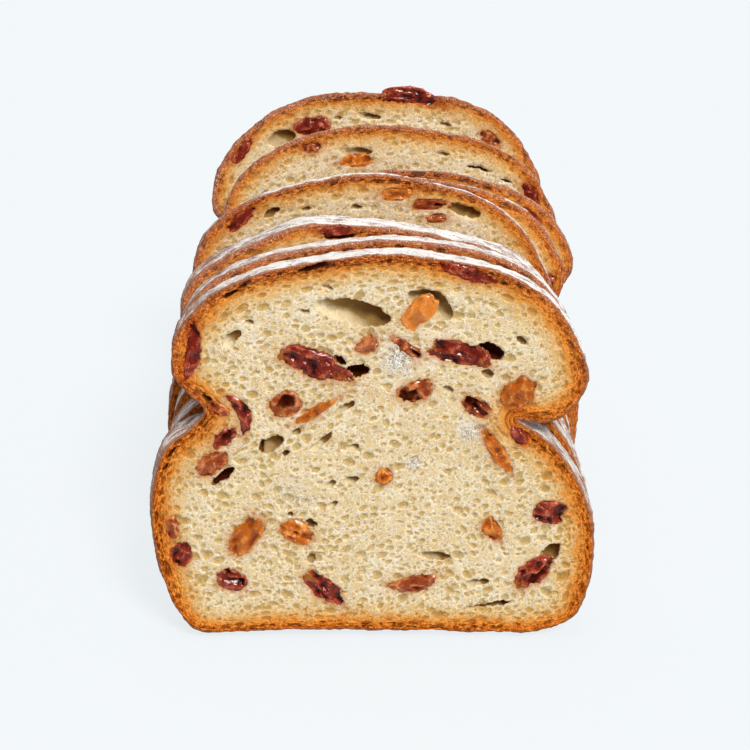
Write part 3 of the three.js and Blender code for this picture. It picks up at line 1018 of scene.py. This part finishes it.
class Finish:
    """A material that is being put together."""

    def __init__(self, name):
        self.material = bpy.data.materials.new(name)
        self.material.use_nodes = True
        self.tree = self.material.node_tree
        self.tree.nodes.clear()
        self.place = self.node("ShaderNodeTexCoord", {}, {}, "Object")

    def node(self, kind, settings, values, output=0):
        """Adds a node: its settings first, then the values, colour codes or wires of its sockets."""
        node = self.tree.nodes.new(kind)
        for name, value in settings.items():
            if name == "stops":
                self.set_stops(node.color_ramp, value)
            else:
                setattr(node, name, value)
        for key, value in values.items():
            if isinstance(value, Wire):
                self.tree.links.new(value.socket, node.inputs[key])
            else:
                node.inputs[key].default_value = tint(value) if isinstance(value, str) else value
        return Wire(self, node.outputs[output]) if node.outputs else node

    @staticmethod
    def set_stops(ramp, stops):
        """Gives a ramp these positions and colour codes."""
        while len(ramp.elements) < len(stops):
            ramp.elements.new(1.0)
        for element, (position, code) in zip(ramp.elements, stops):
            element.position = position
            element.color = tint(code)

    def mark(self, name):
        """A value that the mesh stores for each vertex."""
        return self.node("ShaderNodeAttribute", {"attribute_name": name}, {}, "Fac")

    def noise(self, size, detail, roughness=0.5, distortion=0.0, place=None):
        """Cloudy noise from 0 to 1 with features of about `size`, in millimetres."""
        values = {
            "Vector": place or self.place,
            "Scale": 1 / (size * MM),
            "Detail": detail,
            "Roughness": roughness,
            "Distortion": distortion,
        }
        return self.node("ShaderNodeTexNoise", {}, values, "Fac")

    def walls(self, size, place):
        """Distance to the walls between cells of about `size`, in millimetres."""
        values = {"Vector": place, "Scale": 1 / (size * MM)}
        return self.node("ShaderNodeTexVoronoi", {"feature": "DISTANCE_TO_EDGE"}, values, "Distance")

    def middles(self, size, place):
        """Distance to the middles of round cells of about `size`, in millimetres."""
        values = {"Vector": place, "Scale": 1 / (size * MM), "Smoothness": 0.4}
        return self.node("ShaderNodeTexVoronoi", {"feature": "SMOOTH_F1"}, values, "Distance")

    def warped(self, size, amount):
        """Places pushed about by up to `amount`, in lumps of about `size`, both in millimetres."""
        values = {"Vector": self.place, "Scale": 1 / (size * MM), "Detail": 2.0}
        cloud = self.node("ShaderNodeTexNoise", {}, values, "Color")
        push = {0: cloud, 1: (2 * amount * MM,) * 3, 2: self.place}
        return self.node("ShaderNodeVectorMath", {"operation": "MULTIPLY_ADD"}, push)

    def mix(self, first, second, factor, blend="MIX"):
        """The first colour, and the second one over it as strongly as the factor says."""
        settings = {"data_type": "RGBA", "blend_type": blend}
        return self.node("ShaderNodeMix", settings, {0: factor, 6: first, 7: second}, 2)

    def painted(self, base, *coats):
        """A base with coats over it, one after the other, each of them a colour and its factor."""
        for coat, factor in coats:
            base = self.mix(base, coat, factor)
        return base

    def ramp(self, value, stops):
        """A colour for each value, between stops that are a position and a colour code."""
        return self.node("ShaderNodeValToRGB", {"stops": stops}, {0: value}, "Color")

    def bump(self, height, distance, strength=1.0, normal=None):
        """A bump whose height is in millimetres for a value from 0 to 1."""
        values = {"Strength": strength, "Distance": distance * MM, "Height": height}
        if normal is not None:
            values["Normal"] = normal
        return self.node("ShaderNodeBump", {}, values, "Normal")

    def finish(self, values):
        """Ends in a Principled shader with these values, and gives back the material."""
        shader = self.node("ShaderNodeBsdfPrincipled", {}, values)
        self.node("ShaderNodeOutputMaterial", {}, {"Surface": shader})
        return self.material


def bread_material(settings):
    """Crumb, browned edge and floured skin in one, told apart by what each vertex stores."""
    make = Finish("bread")
    pore, hole, shade, stain, web, inside, along, deep, bake, skin, flour = map(make.mark, MARKS)

    # Places that follow the crust, with the inside or the rim's depth as their second part.
    inwards = (inside + deep) * MM
    follow, long_way = (
        make.node("ShaderNodeCombineXYZ", {}, {0: along * (MM / stretch), 1: inwards})
        for stretch in (2.6, 9)
    )
    fibre = make.noise(0.6, 3.0, 0.65, 0.5)
    grain = make.noise(0.3, 2.0, 0.6)
    speck = make.noise(0.35, 2.0, 0.7)
    cloud = make.noise(8.0, 3.0, 0.6)
    drift = make.noise(2.0, 3.0, 0.6)
    streak = make.noise(0.6, 3.0, 0.65, 0.4, follow)
    near = inside.step(7.0, 3.0)

    # Pores: the mesh knows the larger ones, and the smallest are only here, between thin white walls. All
    # are painted darker inside, as painted shade.
    edge = (fibre - 0.5) * 0.4
    open_pore = (pore + edge).step(-0.06, 0.1)
    pushed = make.warped(1.3, 0.7)
    foam = make.walls(1.35, pushed)
    small_foam = make.walls(0.7, pushed)
    cell = foam.step(0.05, 0.3) * drift.step(0.42, 0.62)
    thread = (foam.step(0.09, 0.0) * drift.step(0.35, 0.5)).over(small_foam.step(0.09, 0.0) * 0.45)
    flat_pore = make.middles(0.75, follow).step(0.36, 0.18)
    # A painted highlight on the crumb just round each pore.
    rim = (pore + edge).step(-0.5, -0.1) * (1 - open_pore)

    # The crumb: light walls with the small pores painted darker as painted shade, olive pore floors of
    # painted shade, white threads, and a painted highlight round each pore.
    wall = make.painted(
        settings.crumb,
        ("#dfbf7e", cloud.step(0.4, 0.66)),
        ("#f3e2c2", cloud.step(0.46, 0.3) * 0.7),
        ("#d8b87c", (cell * (1 - near)).over(flat_pore * near) * 0.75),
        ("#fffaee", (thread * 0.95).over(rim * 0.6) * grain.step(0.25, 0.55)),
    )
    # Pore floors: painted shade, darker deeper in a pore.
    floor = make.painted(
        settings.pore,
        ("#e0c486", drift.step(0.35, 0.7)),
        ("#aa8844", pore.step(0.25, 0.9) * 0.6),
        ("#f3e6c4", thread * 0.35),
    )
    crumb = make.mix(wall, floor, open_pore * (0.8 + 0.2 * grain))

    # The browning, from the cut edge of the crust inwards: the depth is in millimetres.
    tide = make.noise(5.0, 3.0, 0.6, 0.6)
    ragged = (tide - 0.5) * 4.5 + (drift - 0.5) * 2.6 + (grain - 0.5) * 1.4
    depth = inside + ragged * inside.step(0.6, 3.5)
    browned = make.ramp(
        depth * (MM / settings.crust_depth),
        [
            (0.0, "#a0603e"),
            (0.04, "#b65c20"),
            (0.09, "#cf6818"),
            (0.18, "#d47020"),
            (0.25, "#e28430"),
            (0.34, "#ec963c"),
            (0.42, "#f0ac5c"),
            (0.52, "#f8d09c"),
            (0.7, "#f8e2c0"),
            (0.88, "#fcf3e4"),
            (1.0, "#ffffff"),
        ],
    )
    fleck = (streak - 0.5) * 3.6 + (grain - 0.5) * 2.4
    # Pores near the crust, painted nearly black: partly the crust's browning, partly painted shade in them.
    slots = open_pore.over(flat_pore * drift.step(0.5, 0.6))
    char = make.painted(
        browned,
        ("#a0440e", bake.step(0.4, 0.95) * depth.step(4.4, 2.4) * 0.75),
        ("#561a02", fleck.step(0.08, 0.6) * depth.step(5.0, 3.0) * 0.75),
        ("#ffb45c", fleck.step(-0.05, -0.65) * depth.step(6.0, 3.8) * 0.75),
        ("#481602", slots * depth.step(4.6, 2.0) * (0.5 + 0.5 * bake) * (0.4 + streak)),
    )
    outline = make.mix("#8a5238", "#b87c58", grain.step(0.35, 0.65))
    face = make.painted(
        make.mix(crumb, char, 1.0, "MULTIPLY"),
        (char, depth.step(5.0, 3.0)),
        (outline, (inside + (grain - 0.5) * 0.5).step(0.45, 0.15)),
        ("#a8806e", (inside + (drift - 0.5) * 4.0).step(2.4, 0.6) * flour * 0.5),
        ("#f4eae4", speck.step(0.56, 0.66) * inside.step(4.0, 0.8) * flour * 0.9),
    )

    # Stains, the grey web with painted shade in its gaps, and the holes with painted shade and light.
    weave = make.noise(0.8, 2.0, 0.7, 2.5)
    # The web: white threads, with near-black painted shade in the gaps between them.
    web_threads_and_shade = make.mix("#fffcf8", "#2c261f", weave.step(0.49, 0.57))
    # Painted shade and light in the holes: near white on their lit side, then olive, brown and near black.
    hollow = make.ramp(
        shade,
        [
            (0.0, "#fff6e2"),
            (0.12, "#efdcb4"),
            (0.36, "#9c7c46"),
            (0.72, "#6e3c14"),
            (1.0, "#4c1c08"),
        ],
    )
    face = make.painted(
        make.mix(face, "#c9762c", stain * 0.9, "MULTIPLY"),
        (web_threads_and_shade, web * 0.8),
        (hollow, (hole + edge).step(-0.06, 0.1)),
    )

    # The outer crust and the flour on it.
    patch = make.noise(4.5, 4.0, 0.6)
    smear = make.noise(0.9, 4.0, 0.7, 0.6, long_way)
    frayed = deep.step(1.5, 0.0) + deep.step(10.5, 12.0)
    cover = flour - frayed * 0.7 - (smear - 0.5) * 5.4 - (patch - 0.5) * 3.2 + (speck - 0.5) * 3.4
    powder = cover.step(0.45, 0.85)
    outer = make.painted(
        settings.skin,
        ("#5a2c1a", patch.step(0.42, 0.7)),
        ("#b5713f", (1 - bake).step(0.4, 1.0) * 0.7),
        ("#c09478", grain.step(0.5, 0.75) * 0.5),
        ("#c8aca2", cover.step(-0.9, 0.5) * 0.6),
        (settings.flour, powder * 0.97),
    )

    relief = fibre * 0.4 + grain * 0.2 - flat_pore * near * 0.8 + thread * 0.5 - cell * 0.3
    skin_relief = speck * 0.6 + patch * 0.5 + powder * 0.7
    return make.finish(
        {
            "Base Color": make.mix(face, outer, skin),
            "Roughness": 0.75 + 0.2 * skin,
            "Specular IOR Level": 0.0,
            "Subsurface Weight": 0.12,
            "Subsurface Radius": (1.0, 0.6, 0.3),
            "Subsurface Scale": 0.7 * MM,
            "Normal": make.bump(skin_relief * skin, 0.25, 0.8, make.bump(relief, 0.25)),
        }
    )


def raisin_material(name, skin, edge, deep):
    """Glossy wrinkled skin, with painted light on its folds, lighter at its rim, nearly black painted shade
    between the folds, and painted glints.
    """
    make = Finish(name)
    fold, rim, hollow, clear, tone = map(make.mark, RAISIN_MARKS)
    grain = make.noise(0.4, 3.0, 0.6)
    patch = make.noise(2.2, 3.0, 0.6)
    vein = make.noise(1.7, 2.0, 0.5, 1.6)
    crease = ((vein - 0.5) * 2.0).size()
    height = fold * 0.8 + (patch - 0.5) * 2.0 + (crease - 0.12) * 0.7
    wet = grain.step(0.4, 0.52) * (1 - hollow)
    # Painted highlight: small near-white glints.
    painted_glint = (grain * 0.7 + fold * 0.12).step(0.5, 0.56) * (1 - hollow)
    # Painted light on the folds, painted shade in the creases and torn hollows, and painted glints. The
    # rim, tone and clear parts are the raisin's own colours.
    shade = make.painted(
        skin,
        (edge, height.step(0.15, 0.8)),
        (edge, (rim + (patch - 0.5) * 1.4).step(0.75, 1.0) * 0.7),
        (deep, height.step(-0.02, -0.8).over(crease.step(0.07, 0.0) * 0.4)),
        (edge, tone.step(0.0, 1.0) * 0.5),
        (deep, tone.step(0.0, -1.0) * 0.45),
        ("#a0601c", clear * height.step(-0.3, 0.5)),
        ("#330701", hollow * 0.9),
        ("#ffdccb", painted_glint * 0.65),
    )
    return make.finish(
        {
            "Base Color": shade,
            "Roughness": 0.4 + 0.2 * patch,
            "Specular IOR Level": 0.03,
            "Coat Weight": wet * 0.8,
            "Coat Roughness": 0.12,
            "Subsurface Weight": 0.1,
            "Subsurface Radius": (1.0, 0.3, 0.1),
            "Subsurface Scale": 0.8 * MM,
            "Normal": make.bump(grain * 0.35 + patch * 0.5 + crease * 0.6, 0.4),
        }
    )


def floor_material(settings):
    """A pale matt floor that glows a little, so that shadows on it stay faint."""
    make = Finish("floor")
    cloud = make.noise(900.0, 1.0)
    pale = make.mix(settings.floor, "#f0f5f8", cloud * 0.3)
    diffuse = make.node("ShaderNodeBsdfDiffuse", {}, {"Color": pale})
    glow = make.node("ShaderNodeEmission", {}, {"Color": settings.floor, "Strength": 0.958})
    shader = make.node("ShaderNodeMixShader", {}, {0: 0.9, 1: diffuse, 2: glow})
    make.node("ShaderNodeOutputMaterial", {}, {"Surface": shader})
    return make.material


# ---------------------------------------------------------------- operators


class BREAD_OT_slices(bpy.types.Operator):
    """Makes the slices: crumb, crust and flour"""

    bl_idname = "bread.slices"
    bl_label = "Slices"

    def execute(self, context):
        settings = context.scene.bread_crumb
        material = bread_material(settings)
        for number in range(FIRST, LAST + 1):
            make_slice(Board(number), settings, material)
        return {"FINISHED"}


class BREAD_OT_raisins(bpy.types.Operator):
    """Makes the raisins that show in the cut faces"""

    bl_idname = "bread.raisins"
    bl_label = "Raisins"

    def execute(self, context):
        settings = context.scene.bread_raisins
        slots = {item["node"]: item["material_slot"] for item in frame["record"]["subparts"]}
        kinds = {
            # kind: the skin's colour, the lighter one for painted light on its folds and for its rim, and
            # the nearly black painted shade between the folds
            "dark": (settings.dark, "#ba5638", "#280200"),
            "red": (settings.red, "#d4824a", "#561300"),
            "golden": (settings.golden, "#ea9640", "#823a02"),
        }
        materials = {
            f"raisin_{kind}": raisin_material(f"{kind}_raisin", *colours)
            for kind, colours in kinds.items()
        }
        before = None
        for number in range(FIRST, LAST + 1):
            board = Board(number)
            for oval in board.ovals:
                slot = slots[oval.node.name]
                make_raisin(board, before, oval, settings, materials[slot])
            before = board
        return {"FINISHED"}


class BREAD_OT_stage(bpy.types.Operator):
    """Makes the floor, the light and the camera"""

    bl_idname = "bread.stage"
    bl_label = "Stage"

    def execute(self, context):
        settings = context.scene.bread_stage
        scene = context.scene
        scene.view_settings.view_transform = "Standard"

        bm = bmesh.new()
        half_side = 4.0
        bmesh.ops.create_grid(bm, x_segments=1, y_segments=1, size=half_side)
        mesh = bpy.data.meshes.new("floor")
        bm.to_mesh(mesh)
        bm.free()
        mesh.materials.append(floor_material(settings))
        floor = bpy.data.objects.new("floor", mesh)
        scene.collection.objects.link(floor)

        world = bpy.data.worlds.new("studio")
        world.use_nodes = True
        background = world.node_tree.nodes["Background"]
        background.inputs["Color"].default_value = tint("#f6f8ff")
        background.inputs["Strength"].default_value = settings.fill
        scene.world = world

        lights = (
            # name, strength, width of the light in degrees, where it shines
            ("key", settings.key, 20, (-0.36, 0.42, -0.83)),
            ("top", settings.top, 40, (0.05, -0.3, -0.95)),
        )
        for name, strength, width, towards in lights:
            sun = bpy.data.lights.new(name, "SUN")
            sun.energy = strength
            sun.angle = math.radians(width)
            sun.color = tint("#fffaf2")[:3]
            lamp = bpy.data.objects.new(name, sun)
            lamp.rotation_euler = Vector(towards).to_track_quat("-Z", "Y").to_euler()
            scene.collection.objects.link(lamp)

        lens = bpy.data.cameras.new("camera")
        lens.lens = settings.lens
        lens.sensor_width = 36.0
        camera = bpy.data.objects.new("camera", lens)
        camera.location = settings.camera
        camera.rotation_euler = (math.pi / 2 - settings.looks_down, 0, 0)
        scene.collection.objects.link(camera)
        scene.camera = camera
        return {"FINISHED"}


class BREAD_PT_panel(bpy.types.Panel):
    """Lists the pieces of the loaf"""

    bl_idname = "BREAD_PT_panel"
    bl_label = "Raisin Bread"
    bl_space_type = "VIEW_3D"
    bl_region_type = "UI"
    bl_category = "Bread"

    def draw(self, context):
        for operator in OPERATORS:
            self.layout.operator(operator.bl_idname)
        for name in SETTINGS:
            group = getattr(context.scene, name)
            for item in group.bl_rna.properties:
                if item.identifier not in {"rna_type", "name"}:
                    self.layout.prop(group, item.identifier)


SETTINGS = {"bread_crumb": CrumbSettings, "bread_raisins": RaisinSettings, "bread_stage": StageSettings}
OPERATORS = (BREAD_OT_slices, BREAD_OT_raisins, BREAD_OT_stage)


def register():
    for item in (*SETTINGS.values(), *OPERATORS, BREAD_PT_panel):
        bpy.utils.register_class(item)
    for name, group in SETTINGS.items():
        setattr(bpy.types.Scene, name, PointerProperty(type=group))


def unregister():
    for name in SETTINGS:
        delattr(bpy.types.Scene, name)
    for item in reversed((*SETTINGS.values(), *OPERATORS, BREAD_PT_panel)):
        bpy.utils.unregister_class(item)


def main():
    register()
    bpy.ops.bread.slices()
    bpy.ops.bread.raisins()
    bpy.ops.bread.stage()


if __name__ == "__main__":
    main()
